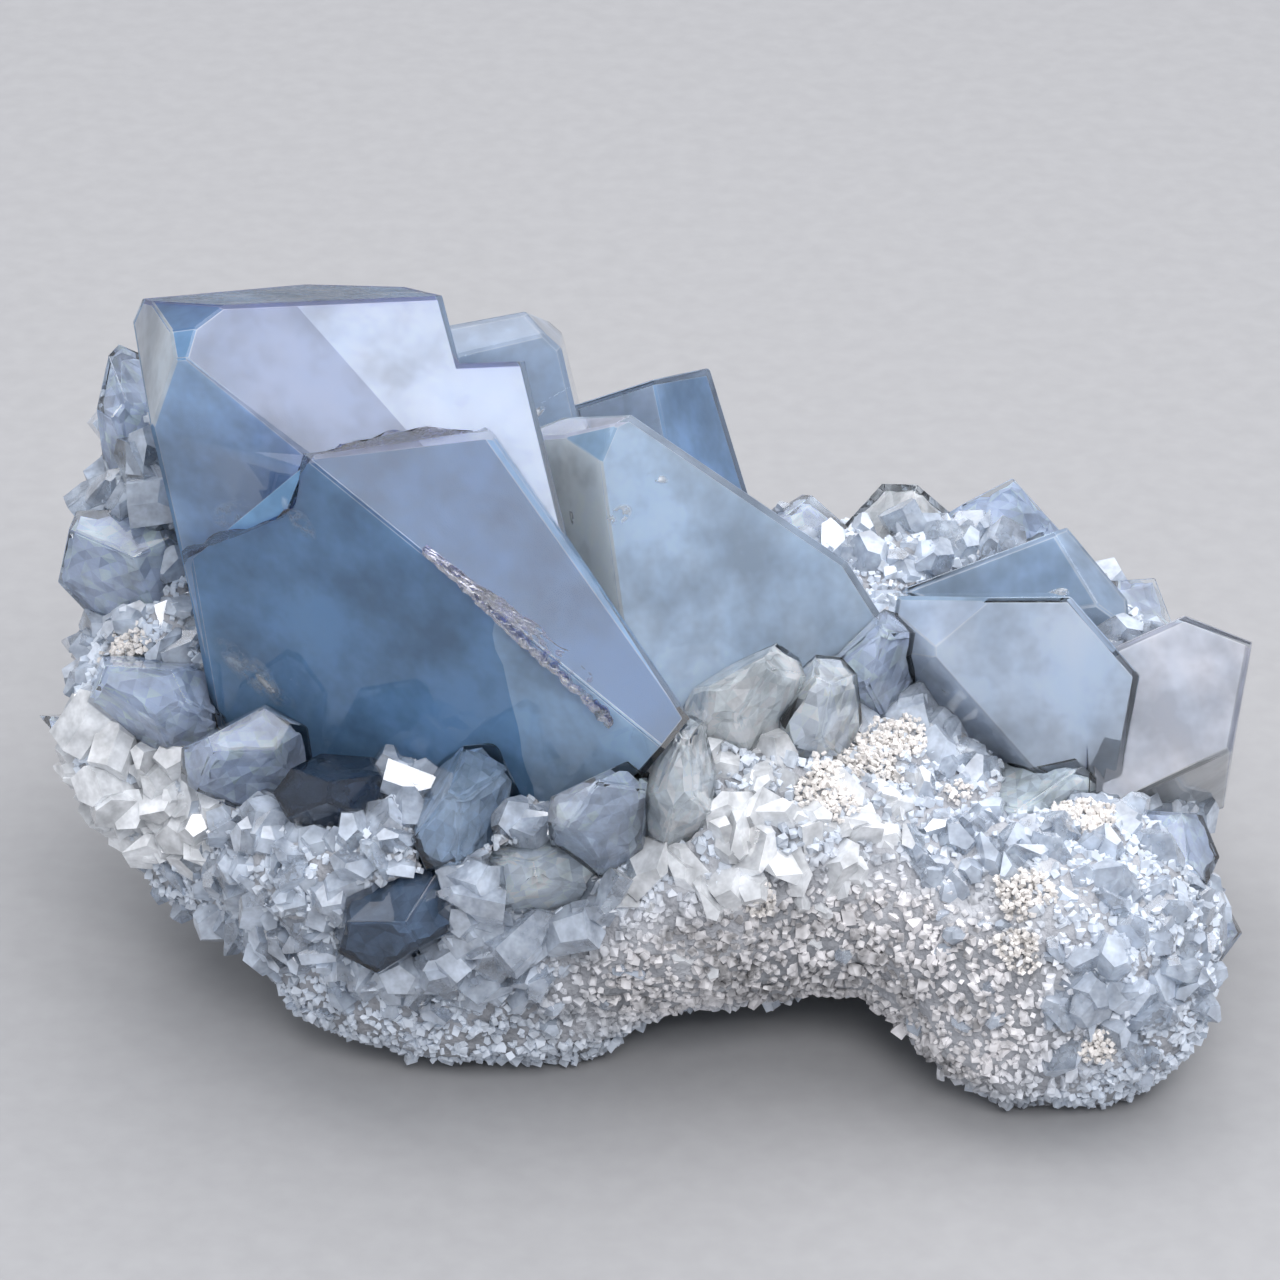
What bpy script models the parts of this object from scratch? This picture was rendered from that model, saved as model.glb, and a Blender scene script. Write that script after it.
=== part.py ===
"""A hand-sized celestite cluster: blue crystals standing on a piece of sugary geode wall.

Lengths below are millimetres; the finished meshes are centred and scaled to metres at the end.
+X runs to the right of the cluster, +Y to its back, +Z up. It rests on flat spots at Z = 0,
and the origin lies at that height in the middle of its outline.
"""
import math

import bmesh
import bpy
from mathutils import Matrix, Vector, noise

MM = 0.001
CONTACT_GAP = 0.3

DEEP_BLUE = (0.16, 0.29, 0.47)
SKY_BLUE = (0.30, 0.46, 0.64)
PALE_BLUE = (0.50, 0.60, 0.70)
WALL_WHITE = (0.58, 0.60, 0.64)
CRYSTAL_ROUGHNESS = 0.08
WALL_ROUGHNESS = 0.8

# Interfacial angles of celestite, in degrees from the crystal's own long axis or side axis.
DOME_FROM_SIDE = 37.9
TIP_FROM_LENGTH = 38.0
SHOULDER_FROM_LENGTH = 67.7
# How far a lesser crystal runs on below its seat, as a share of its length.
ROOT_SHARE = 0.5

# The blank that a crystal is cut from is wider than any crystal.
BLANK_SIZE = 400.0
CUT_SNAP = 0.00005

MATRIX_VOXEL = 3.1
MATRIX_LUMP_SUBDIVISIONS = 3
COARSE_BUMP_SIZE = 9.0
COARSE_BUMP_DEPTH = 1.5
FINE_BUMP_SIZE = 3.7
FINE_BUMP_DEPTH = 0.7

# Face lists: the bearing of the outward normal (0 along +X, 90 along +Y), its rise above the
# horizontal, and the distance of the face from the crystal's centre.
GREAT_CENTRE = (-25.0, 2.0, 38.0)
GREAT_TIP = (
    ("front", -115, -5, 12.2),
    ("upper front", -60, 50, 19.9),
    ("corner lozenge", -140, 53, 27.1),
    ("left bevel", 180, 70, 26.0),
    ("left chamfer", -164, 14, 18.8),
    ("left side", -172, -9, 12.1),
    ("broken top", 92, 68, 20.7),
    ("right side", 19, 0, 8.3),
    ("lower end", -22, -33, 20.0),
    ("back", 65, 5, 13.0),
    ("back slope", 128, 30, 19.5),
    ("root", 0, -90, 20.0),
)
GREAT_BODY = (
    ("front", -115, -5, 13.0),
    ("upper front", -60, 50, 20.7),
    ("right front", 5, 40, 18.6),
    ("right side", 34, 10, 9.5),
    ("break", 110, 37, -1.6),
    ("left side", -172, -6, 11.9),
    ("lower end", -22, -33, 31.0),
    ("back", 65, 5, 13.0),
    ("root", 0, -90, 20.0),
)
GREAT_SHOULDER = (
    ("front", -115, -5, 6.0),
    ("upper front", -60, 50, 19.9),
    ("top", 96, 62, 13.8),
    ("right side", 17, 0, 14.0),
    ("left side", -161, 0, 2.0),
    ("back", 65, 5, 11.0),
    ("root", 0, -90, 16.0),
)

MIDDLE_CENTRE = (3.0, 0.0, 36.0)
MIDDLE_FACES = (
    ("right face", -65, 25, 5.9),
    ("left face", -140, 10, 9.0),
    ("lilac bevel", -136, 42, 13.5),
    ("dark bevel", 148, 66, 15.0),
    ("top right", 58, 36, 6.5),
    ("right end", 38, 20, 10.5),
    ("back", 110, 5, 9.0),
    ("root", 0, -90, 16.0),
)

BACK_LEFT_CENTRE = (-11.0, 17.0, 42.0)
BACK_LEFT_FACES = (
    ("front", -80, 22, 6.3),
    ("top facet", -92, 62, 9.2),
    ("top back", 110, 55, 7.5),
    ("right upper", 20, 42, 7.4),
    ("right side", 5, 12, 5.4),
    ("left side", -170, 5, 9.0),
    ("back", 95, 0, 7.0),
    ("root", 0, -90, 18.0),
)

BACK_PEAK_CENTRE = (1.0, 19.0, 36.0)
BACK_PEAK_FACES = (
    ("left front", -110, 25, 4.3),
    ("right front", -25, 25, 4.1),
    ("top left", 120, 55, 6.6),
    ("right back", 50, -5, 7.0),
    ("back", 100, 10, 6.0),
    ("left side", 180, 0, 8.0),
    ("root", 0, -90, 14.0),
)

RIGHT_CENTRE = (33.0, 3.0, 29.0)
RIGHT_FACES = (
    ("front", -85, 20, 8.5),
    ("left facet", -140, 12, 12.7),
    ("left end", 175, 10, 11.8),
    ("lower left", -130, -20, 10.7),
    ("upper left facet", -130, 50, 10.6),
    ("top", 90, 62, 2.9),
    ("upper right", 25, 35, 3.2),
    ("right side", 5, -12, 6.7),
    ("back", 95, 0, 4.0),
    ("root", 0, -90, 14.0),
)

RIGHT_REAR_CENTRE = (34.0, 16.0, 29.0)
RIGHT_REAR_FACES = (
    ("front slope", -100, 45, 4.0),
    ("crest", 125, 52, 1.0),
    ("right slope", -20, 50, 4.0),
    ("right back", 20, 35, 3.3),
    ("right side", 0, 0, 7.3),
    ("left side", -175, 10, 11.0),
    ("front", -90, 0, 7.2),
    ("back", 90, 0, 7.0),
    ("root", 0, -90, 14.0),
)

FAR_RIGHT_CENTRE = (43.5, 1.0, 23.0)
FAR_RIGHT_FACES = (
    ("front", -75, 42, 5.0),
    ("right side", -12, -5, 5.9),
    ("top", 60, 48, 6.2),
    ("top left", 130, 50, 5.0),
    ("lower front", -55, -35, 6.4),
    ("left side", 175, 0, 4.6),
    ("back", 100, 0, 6.5),
    ("root", 0, -90, 12.0),
)

# Lesser crystals, one row each: name, seat point, bearing and rise of the long axis, roll,
# length from the seat to the tip, width and thickness.
LESSER_CRYSTALS = (
    ("wall_crystal_upper", (-40.0, 13.0, 38.5), 150, 66, 20, 12.0, 9.0, 8.0),
    ("wall_crystal_middle", (-41.0, 6.0, 32.0), -165, 48, 50, 9.0, 10.0, 8.0),
    ("wall_crystal_lower", (-39.0, -4.0, 26.0), -140, 40, 15, 8.0, 8.5, 7.0),
    ("wall_spur_crystal", (-43.0, -3.0, 21.0), 172, 22, 30, 7.0, 6.0, 5.0),
    ("front_left_crystal", (-31.0, -9.0, 24.0), -120, 35, 40, 8.5, 8.0, 7.0),
    ("window_crystal", (-24.0, -14.5, 23.0), -98, 38, 0, 8.0, 7.5, 7.0),
    ("pool_crystal", (-19.5, -20.5, 17.5), -80, 15, 25, 8.5, 9.0, 8.0),
    ("fan_crystal", (-14.0, -18.0, 24.0), -95, 42, 65, 8.5, 8.5, 7.0),
    ("broken_crystal", (-8.5, -20.0, 19.5), -88, 35, 10, 8.0, 8.5, 7.0),
    ("clear_crystal", (-3.0, -22.0, 26.0), -95, 55, 30, 8.0, 6.5, 6.0),
    ("bright_crystal", (2.5, -20.5, 28.0), -75, 60, 70, 8.0, 6.5, 6.0),
    ("striated_crystal", (8.0, -12.0, 30.0), -60, 58, 15, 8.0, 7.5, 6.5),
    ("rounded_crystal", (14.0, -10.0, 27.5), -80, 60, 55, 7.5, 7.0, 6.5),
    ("grey_crystal", (18.5, -3.0, 27.5), -70, 62, 35, 8.0, 7.0, 6.5),
    ("ledge_crystal", (31.0, -8.0, 18.0), -90, 25, 10, 8.0, 13.0, 8.0),
    ("right_lower_crystal", (41.0, -11.0, 14.5), -55, 25, 30, 8.0, 9.0, 8.0),
    ("right_corner_crystal", (43.5, -9.0, 7.5), -25, 10, 60, 6.5, 8.0, 7.0),
    ("back_rim_left_crystal", (14.0, 21.0, 24.0), 80, 62, 25, 7.0, 9.0, 7.0),
    ("back_rim_white_crystal", (23.0, 23.0, 24.0), 95, 66, 50, 7.0, 10.0, 8.0),
    ("back_rim_right_crystal", (31.5, 24.0, 23.5), 70, 60, 10, 7.5, 9.0, 8.0),
    ("back_corner_crystal", (41.0, 18.0, 18.5), 40, 45, 35, 7.0, 8.0, 7.0),
    ("rear_crystal_low", (-26.0, 24.0, 24.0), 110, 35, 20, 8.0, 10.0, 8.0),
    ("rear_crystal_high", (-32.0, 18.0, 36.0), 130, 55, 45, 9.0, 9.0, 8.0),
)

# The wall piece is a run of overlapping lumps: centre and half widths.
MATRIX_LUMPS = (
    ("middle slab", (0.0, 3.0, 12.5), (41.0, 24.0, 14.0)),
    ("left foot", (-12.5, -10.3, 10.5), (21.5, 14.5, 13.5)),
    ("right foot", (34.3, -16.8, 10.2), (15.2, 14.2, 13.5)),
    ("left heel", (-31.0, -4.0, 14.0), (12.0, 10.0, 10.0)),
    ("left wing", (-36.0, 4.0, 23.0), (12.0, 12.5, 13.0)),
    ("left wall", (-39.5, 12.0, 34.0), (6.5, 11.0, 14.0)),
    ("left nub", (-43.0, -3.0, 22.0), (6.5, 5.5, 5.5)),
    ("seat of the great crystal", (-14.0, -14.5, 18.5), (21.0, 12.0, 10.0)),
    ("back bank", (-20.0, 17.5, 21.0), (24.5, 13.5, 17.0)),
    ("front bank", (4.0, -14.0, 18.5), (19.0, 12.0, 13.0)),
    ("saddle", (16.0, -4.0, 18.0), (14.0, 12.0, 11.0)),
    ("back rim", (22.0, 19.0, 17.5), (24.0, 12.5, 13.0)),
    ("right end", (38.0, 9.0, 12.6), (12.0, 16.0, 14.2)),
)
ARCH_CENTRE = (9.0, -27.0, -3.0)
ARCH_HALF_WIDTHS = (17.0, 20.0, 7.5)


def direction(bearing, rise):
    """Unit vector at a bearing and a rise, both in degrees."""
    turn, lift = math.radians(bearing), math.radians(rise)
    return Vector((math.cos(lift) * math.cos(turn), math.cos(lift) * math.sin(turn), math.sin(lift)))


def clear_objects():
    for item in list(bpy.data.objects):
        bpy.data.objects.remove(item, do_unlink=True)


def finish(name, colour, roughness):
    """A Principled material with one plain colour."""
    material = bpy.data.materials.new(name)
    material.use_nodes = True
    shader = material.node_tree.nodes["Principled BSDF"]
    shader.inputs["Base Color"].default_value = (*colour, 1.0)
    shader.inputs["Roughness"].default_value = roughness
    shader.inputs["Metallic"].default_value = 0.0
    return material


def add_object(name, bm, material=None):
    """Write a bmesh to a new named object."""
    bmesh.ops.recalc_face_normals(bm, faces=bm.faces[:])
    mesh = bpy.data.meshes.new(name)
    bm.to_mesh(mesh)
    bm.free()
    item = bpy.data.objects.new(name, mesh)
    bpy.context.collection.objects.link(item)
    if material:
        mesh.materials.append(material)
    return item


def cut_blank(planes):
    """Cut a large cube down to the convex body inside a list of (point, normal) planes."""
    bm = bmesh.new()
    bmesh.ops.create_cube(bm, size=BLANK_SIZE)
    for point, normal in planes:
        geometry = bm.verts[:] + bm.edges[:] + bm.faces[:]
        cut = bmesh.ops.bisect_plane(
            bm, geom=geometry, dist=CUT_SNAP, plane_co=point, plane_no=normal, clear_outer=True)
        rim = [e for e in cut["geom_cut"] if isinstance(e, bmesh.types.BMEdge)]
        if rim:
            bmesh.ops.edgeloop_fill(bm, edges=rim)
    return bm


def faceted(centre, faces, grow):
    """The planes of a crystal given by its face list, moved out by grow."""
    middle = Vector(centre)
    planes = []
    for _face, bearing, rise, distance in faces:
        normal = direction(bearing, rise)
        planes.append((middle + normal * (distance + grow), normal))
    return planes


def habit(row, grow):
    """The planes of a lesser crystal, from celestite's own prism, tip and shoulder faces."""
    _name, seat, bearing, rise, roll, length, width, thickness = row
    axis = direction(bearing, rise)
    frame = axis.to_track_quat("X", "Z").to_matrix() @ Matrix.Rotation(math.radians(roll), 3, "X")
    dome, tip, shoulder = (
        math.radians(a) for a in (DOME_FROM_SIDE, TIP_FROM_LENGTH, SHOULDER_FROM_LENGTH))
    local = [((-1.0, 0.0, 0.0), length * ROOT_SHARE)]
    for side in (1, -1):
        local.append(((0.0, 0.0, side), thickness / 2))
        local.append(((math.cos(tip), side * math.sin(tip), 0.0), length * math.cos(tip)))
        local.append(((math.cos(shoulder), 0.0, side * math.sin(shoulder)), thickness * 0.52))
        for other in (1, -1):
            local.append(((0.0, side * math.cos(dome), other * math.sin(dome)), width / 2))
    planes = []
    for normal, distance in local:
        outward = frame @ Vector(normal)
        planes.append((Vector(seat) + outward * (distance + grow), outward))
    return planes


def boolean(target, cutter, operation):
    """Give the target a Boolean modifier, with the cutter shown as a bare outline."""
    cutter.hide_render = True
    cutter.display_type = "WIRE"
    modifier = target.modifiers.new(f"{operation.title()} {cutter.name}", "BOOLEAN")
    modifier.operation = operation
    modifier.solver = "EXACT"
    modifier.object = cutter


def apply_modifiers(item):
    """Replace the object's mesh with what its modifiers make of it."""
    mesh = bpy.data.meshes.new_from_object(item.evaluated_get(bpy.context.evaluated_depsgraph_get()))
    item.modifiers.clear()
    item.data = mesh


def keep_main_body(item):
    """Drop the crumbs that a cut leaves beside the largest connected body."""
    bm = bmesh.new()
    bm.from_mesh(item.data)
    waiting = set(bm.verts)
    bodies = []
    while waiting:
        reached = {waiting.pop()}
        front = list(reached)
        while front:
            corner = front.pop()
            for edge in corner.link_edges:
                other = edge.other_vert(corner)
                if other not in reached:
                    reached.add(other)
                    front.append(other)
        waiting -= reached
        bodies.append(reached)
    bodies.sort(key=len)
    crumbs = [corner for body in bodies[:-1] for corner in body]
    bmesh.ops.delete(bm, geom=crumbs, context="VERTS")
    bm.to_mesh(item.data)
    bm.free()


def joined_crystal(name, blocks, grow=0.0, material=None):
    """One solid from several overlapping blocks."""
    whole = add_object(name, cut_blank(blocks[0](grow)), material)
    for number, block in enumerate(blocks[1:], 2):
        part = add_object(f"{name}_block_{number}", cut_blank(block(grow)))
        boolean(whole, part, "UNION")
        apply_modifiers(whole)
        bpy.data.objects.remove(part, do_unlink=True)
    return whole


def crystal_plan():
    """Every crystal by name, with the functions that give the planes of its blocks."""
    def listed(centre, faces):
        return lambda grow: faceted(centre, faces, grow)

    def lesser(row):
        return lambda grow: habit(row, grow)

    plan = [
        ("great_crystal", [listed(GREAT_CENTRE, GREAT_TIP), listed(GREAT_CENTRE, GREAT_BODY),
                           listed(GREAT_CENTRE, GREAT_SHOULDER)], DEEP_BLUE),
        ("middle_crystal", [listed(MIDDLE_CENTRE, MIDDLE_FACES)], SKY_BLUE),
        ("back_left_crystal", [listed(BACK_LEFT_CENTRE, BACK_LEFT_FACES)], SKY_BLUE),
        ("back_peak_crystal", [listed(BACK_PEAK_CENTRE, BACK_PEAK_FACES)], SKY_BLUE),
        ("right_crystal", [listed(RIGHT_CENTRE, RIGHT_FACES)], SKY_BLUE),
        ("right_rear_crystal", [listed(RIGHT_REAR_CENTRE, RIGHT_REAR_FACES)], PALE_BLUE),
        ("far_right_crystal", [listed(FAR_RIGHT_CENTRE, FAR_RIGHT_FACES)], PALE_BLUE),
    ]
    for row in LESSER_CRYSTALS:
        plan.append((row[0], [lesser(row)], PALE_BLUE))
    return plan


def lump(centre, half_widths):
    bm = bmesh.new()
    bmesh.ops.create_icosphere(bm, subdivisions=MATRIX_LUMP_SUBDIVISIONS, radius=1.0)
    bmesh.ops.scale(bm, vec=half_widths, verts=bm.verts[:])
    bmesh.ops.translate(bm, vec=centre, verts=bm.verts[:])
    return bm


def roughen(mesh):
    """Push the vertices in and out along their normals by two sizes of noise."""
    moved = []
    for vertex in mesh.vertices:
        depth = COARSE_BUMP_DEPTH * noise.noise(vertex.co / COARSE_BUMP_SIZE)
        depth += FINE_BUMP_DEPTH * noise.noise(vertex.co / FINE_BUMP_SIZE)
        moved.append(vertex.co + vertex.normal * depth)
    for vertex, place in zip(mesh.vertices, moved):
        vertex.co = place


def one_skin(item):
    """Run overlapping lumps together under one even skin."""
    remesh = item.modifiers.new("One skin", "REMESH")
    remesh.mode = "VOXEL"
    remesh.voxel_size = MATRIX_VOXEL


def build_matrix(material):
    """The wall piece: lumps run together, roughened, cut flat where it rests."""
    whole = bmesh.new()
    for _name, centre, half_widths in MATRIX_LUMPS:
        piece = lump(centre, half_widths)
        scrap = bpy.data.meshes.new("lump")
        piece.to_mesh(scrap)
        piece.free()
        whole.from_mesh(scrap)
        bpy.data.meshes.remove(scrap)
    matrix = add_object("matrix", whole, material)
    arch = add_object("arch", lump(ARCH_CENTRE, ARCH_HALF_WIDTHS))
    one_skin(matrix)
    boolean(matrix, arch, "DIFFERENCE")
    one_skin(matrix)
    apply_modifiers(matrix)
    bpy.data.objects.remove(arch, do_unlink=True)
    roughen(matrix.data)
    one_skin(matrix)
    apply_modifiers(matrix)
    below = bmesh.new()
    bmesh.ops.create_cube(below, size=BLANK_SIZE)
    bmesh.ops.translate(below, vec=(0.0, 0.0, -BLANK_SIZE / 2), verts=below.verts[:])
    floor_cut = add_object("floor_cut", below)
    boolean(matrix, floor_cut, "DIFFERENCE")
    apply_modifiers(matrix)
    bpy.data.objects.remove(floor_cut, do_unlink=True)
    return matrix


def centre_and_scale():
    """Move the middle of the outline over the origin and turn millimetres into metres."""
    corners = [v.co for item in bpy.data.objects for v in item.data.vertices]
    shift = [-(min(c[axis] for c in corners) + max(c[axis] for c in corners)) / 2 for axis in (0, 1)]
    for item in bpy.data.objects:
        item.data.transform(Matrix.Scale(MM, 4) @ Matrix.Translation((*shift, 0.0)))


def main():
    clear_objects()
    matrix = build_matrix(finish("matrix", WALL_WHITE, WALL_ROUGHNESS))
    sockets = None
    for name, blocks, colour in crystal_plan():
        item = joined_crystal(name, blocks, 0.0, finish(name, colour, CRYSTAL_ROUGHNESS))
        socket = joined_crystal(f"{name}_socket", blocks, CONTACT_GAP)
        if sockets is None:
            sockets = socket
            continue
        boolean(item, sockets, "DIFFERENCE")
        apply_modifiers(item)
        keep_main_body(item)
        boolean(sockets, socket, "UNION")
        apply_modifiers(sockets)
        bpy.data.objects.remove(socket, do_unlink=True)
    boolean(matrix, sockets, "DIFFERENCE")
    apply_modifiers(matrix)
    keep_main_body(matrix)
    bpy.data.objects.remove(sockets, do_unlink=True)
    centre_and_scale()


main()
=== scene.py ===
"""Celestite cluster: the looks of its crystals, its sugary wall and the studio that it stands in.

Lengths are metres unless a name says millimetres. +X runs to the right of the cluster, +Y to
its back and +Z up, and the cluster rests on Z = 0.
"""

import math
import random

import bmesh
import bpy
from bpy.props import FloatProperty, FloatVectorProperty, IntProperty, PointerProperty
from mathutils import Euler, Matrix, Vector, noise
from mathutils.bvhtree import BVHTree


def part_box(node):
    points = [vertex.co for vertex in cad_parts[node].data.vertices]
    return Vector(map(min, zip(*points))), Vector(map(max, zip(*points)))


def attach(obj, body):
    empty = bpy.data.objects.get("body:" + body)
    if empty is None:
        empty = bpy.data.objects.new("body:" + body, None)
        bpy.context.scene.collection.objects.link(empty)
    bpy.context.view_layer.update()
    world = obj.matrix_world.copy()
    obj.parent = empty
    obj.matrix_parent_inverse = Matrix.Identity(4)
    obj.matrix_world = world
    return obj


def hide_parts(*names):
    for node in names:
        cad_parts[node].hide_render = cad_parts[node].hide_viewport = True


bl_info = {
    "name": "Celestite Cluster",
    "version": (1, 0, 0),
    "blender": (4, 5, 0),
    "location": "View3D > Sidebar > Celestite",
    "description": "Builds the crystals, the sugary wall and the studio of a celestite cluster",
    "category": "Add Mesh",
}

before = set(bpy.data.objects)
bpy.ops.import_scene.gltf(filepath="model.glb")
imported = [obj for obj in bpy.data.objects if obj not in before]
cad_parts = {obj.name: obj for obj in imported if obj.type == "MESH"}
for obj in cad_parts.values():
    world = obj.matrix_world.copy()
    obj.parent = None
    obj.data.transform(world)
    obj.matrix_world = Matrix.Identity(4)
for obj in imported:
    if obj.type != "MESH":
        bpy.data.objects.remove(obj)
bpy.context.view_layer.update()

MM = 0.001
# The node meshes come as loose triangles; corners closer than this are one corner.
MERGE = 2e-6
FLAT_ANGLE = 0.01

STANDING_CRYSTALS = (
    "middle_crystal", "back_left_crystal", "back_peak_crystal", "right_crystal",
    "right_rear_crystal", "far_right_crystal")
LESSER_CRYSTALS = tuple(sorted(
    set(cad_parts) - set(STANDING_CRYSTALS) - {"matrix", "great_crystal"}))

# Interfacial angles of celestite, from the long axis or the side axis.
DOME_FROM_SIDE = math.radians(37.9)
TIP_FROM_LENGTH = math.radians(38.0)
SHOULDER_FROM_LENGTH = math.radians(67.7)


# The great crystal, in millimetres: faces as outward directions and their reach from the
# origin. Its body stands a little proud of its tip, past a jagged break between the two.
FRONT_OUT = Vector((-0.4210, -0.9029, -0.0872))
UPPER_OUT = Vector((0.3214, -0.5567, 0.7660))
BREAK_OUT = Vector((-0.2731, 0.7505, 0.6018))
TOP_OUT = Vector((-0.013, 0.374, 0.927))
TIP_FRONT_REACH = 18.92
TIP_UPPER_REACH = 40.14
BODY_FRONT_REACH = 19.72
BREAK_REACH = 29.07
# The tip's upper face is split along a line into a lilac haze on its left and a whiter one on its
# right, both painted reflection, and a chip makes a paler corner low on the front: each is the
# direction across the line and its reach.
SPLIT_OUT = Vector((0.681, 0.698, 0.222))
SPLIT_REACH = -7.67
CHIP_OUT = Vector((0.875, -0.446, 0.190))
CHIP_REACH = 5.9
# The striated ledge follows the front's right edge between these two points.
LEDGE_START = Vector((-17.9, -18.1, 48.2))
LEDGE_END = Vector((-3.2, -24.2, 35.9))
LEDGE_WIDTH = 3.0

# Hazes inside the crystals: red, green, blue and how dense the haze is.
ICE = (0.70, 0.80, 1.0, 0.96)
# Per standing crystal, first its body's haze, then a haze for each face direction, set lighter or
# darker as painted light, shade and reflection over the body's blue; the middle crystal's left face
# is whitened against the great crystal's shadow.
STANDING_HAZES = {
    "middle_crystal": (
        (None, (0.70, 0.80, 0.93, 0.85)),
        ((-0.754, -0.633, 0.174), (0.93, 0.98, 1.0, 0.98)),
        ((0.383, -0.821, 0.423), (0.67, 0.81, 0.97, 0.90)),
        ((-0.535, -0.516, 0.669), (0.45, 0.63, 0.82, 0.88)),
        ((-0.345, 0.216, 0.914), (0.76, 0.79, 0.92, 0.85))),
    "back_left_crystal": (
        (None, (0.55, 0.66, 0.82, 0.80)),
        ((0.161, -0.913, 0.375), (0.55, 0.68, 0.86, 0.80))),
    "back_peak_crystal": (
        (None, (0.56, 0.67, 0.84, 0.80)),
        ((-0.310, -0.852, 0.423), (0.60, 0.71, 0.88, 0.72)),
        ((0.821, -0.383, 0.423), (0.38, 0.56, 0.81, 0.85))),
    "right_crystal": (
        (None, (0.70, 0.80, 0.95, 0.85)),
        ((0.082, -0.936, 0.342), (0.76, 0.85, 0.97, 0.92)),
        ((0.000, 0.469, 0.883), (0.57, 0.74, 0.92, 0.80))),
    "right_rear_crystal": (
        (None, (0.56, 0.69, 0.86, 0.80)),
        ((-0.123, -0.696, 0.707), (0.46, 0.61, 0.80, 0.75))),
    "far_right_crystal": (
        (None, (0.80, 0.81, 0.90, 0.80)),
        ((0.470, -0.671, -0.574), (0.97, 0.97, 0.97, 1.0)),
        ((0.192, -0.718, 0.669), (0.90, 0.91, 0.97, 0.98))),
}
LESSER_HAZES = {
    "pool_crystal": (0.12, 0.19, 0.30, 0.85),
    "window_crystal": (0.08, 0.12, 0.20, 0.60),
    "striated_crystal": (0.94, 0.985, 1.0, 1.0),
    "rounded_crystal": (0.86, 0.92, 1.0, 0.97),
    "bright_crystal": (0.92, 0.97, 1.0, 0.95),
    "clear_crystal": (0.70, 0.80, 0.97, 0.90),
    "broken_crystal": (0.85, 0.92, 1.0, 0.98),
    "fan_crystal": (0.50, 0.64, 0.82, 0.90),
    "ledge_crystal": (0.84, 0.92, 0.98, 0.90),
    "back_rim_white_crystal": (0.97, 0.98, 0.98, 0.92),
}
# Healed cracks under the crystals' faces: middle, the way they run, length and width, in
# millimetres. A flash is a small open crack that mirrors the light.
VEILS = (
    ((-31.6, -8.6, 32.2), (6.3, -2.4, -4.8), 9.0, 3.4),
    ((-32.4, -8.6, 47.2), (5.0, -2.0, 3.0), 5.5, 2.6),
    ((-27.0, -11.6, 48.6), (2.0, -0.6, -2.6), 4.5, 2.0),
    ((-12.5, 12.0, 43.0), (2.0, 1.0, 2.5), 7.0, 4.0),
    ((-2.0, 15.0, 37.0), (1.0, 0.4, 3.0), 6.0, 3.6),
)
FLASHES = (
    ((-2.6, -6.0, 44.6), (2.0, 0.4, 1.0), 2.4, 1.5),
    ((-6.4, -3.4, 43.2), (0.6, -0.4, -2.0), 1.8, 0.5),
    ((0.4, -3.4, 46.6), (2.0, 0.4, -1.0), 2.0, 0.8),
    ((-30.6, -9.6, 31.2), (3.0, -1.2, -2.6), 3.4, 0.9),
    ((-3.2, 14.0, 38.0), (0.5, 0.3, 3.0), 3.2, 1.2),
    ((-10.0, 11.6, 44.6), (2.0, 0.5, 1.5), 2.6, 0.8),
    ((35.2, 10.6, 27.2), (2.0, 0.2, 0.2), 2.6, 0.8),
    ((24.6, -5.9, 28.0), (2.0, 0.0, -1.0), 1.6, 0.7),
)
# Small crystals carry their haze on their faces, so their fourth number is their clearness.
# They are whitest in front of the middle and on the spur at the left: the middle and reach of
# these places, in millimetres.
DRUSE_ICE = (0.78, 0.87, 1.0, 0.60)
DRUSE_WHITE = (0.95, 0.975, 1.0, 0.34)
WHITE_PLACES = (((8.0, -20.0, 23.0), 13.0), ((-45.0, -10.0, 20.0), 9.0))

# The open, sugary front of the wall: its middle and reach, in millimetres.
OPEN_FRONT = (14.0, -26.0, 11.0)
OPEN_FRONT_REACH = (23.0, 12.0, 11.5)
SUGAR_PIECES = 5
# Beige, earthy crust: middle and reach of each patch, in millimetres.
CRUST_PATCHES = (
    ((17.2, -12.0, 26.6), 3.6), ((14.0, -18.6, 26.4), 2.4), ((20.6, -10.0, 26.2), 2.0),
    ((35.2, -16.0, 22.0), 2.3), ((29.8, -25.0, 20.4), 2.2), ((29.4, -28.0, 17.2), 1.7),
    ((36.0, -30.0, 9.5), 1.5), ((-44.2, -3.5, 30.4), 2.6), ((25.2, -13.8, 23.2), 1.3),
    ((8.6, -25.0, 20.0), 1.2))


# ---- settings


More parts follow.
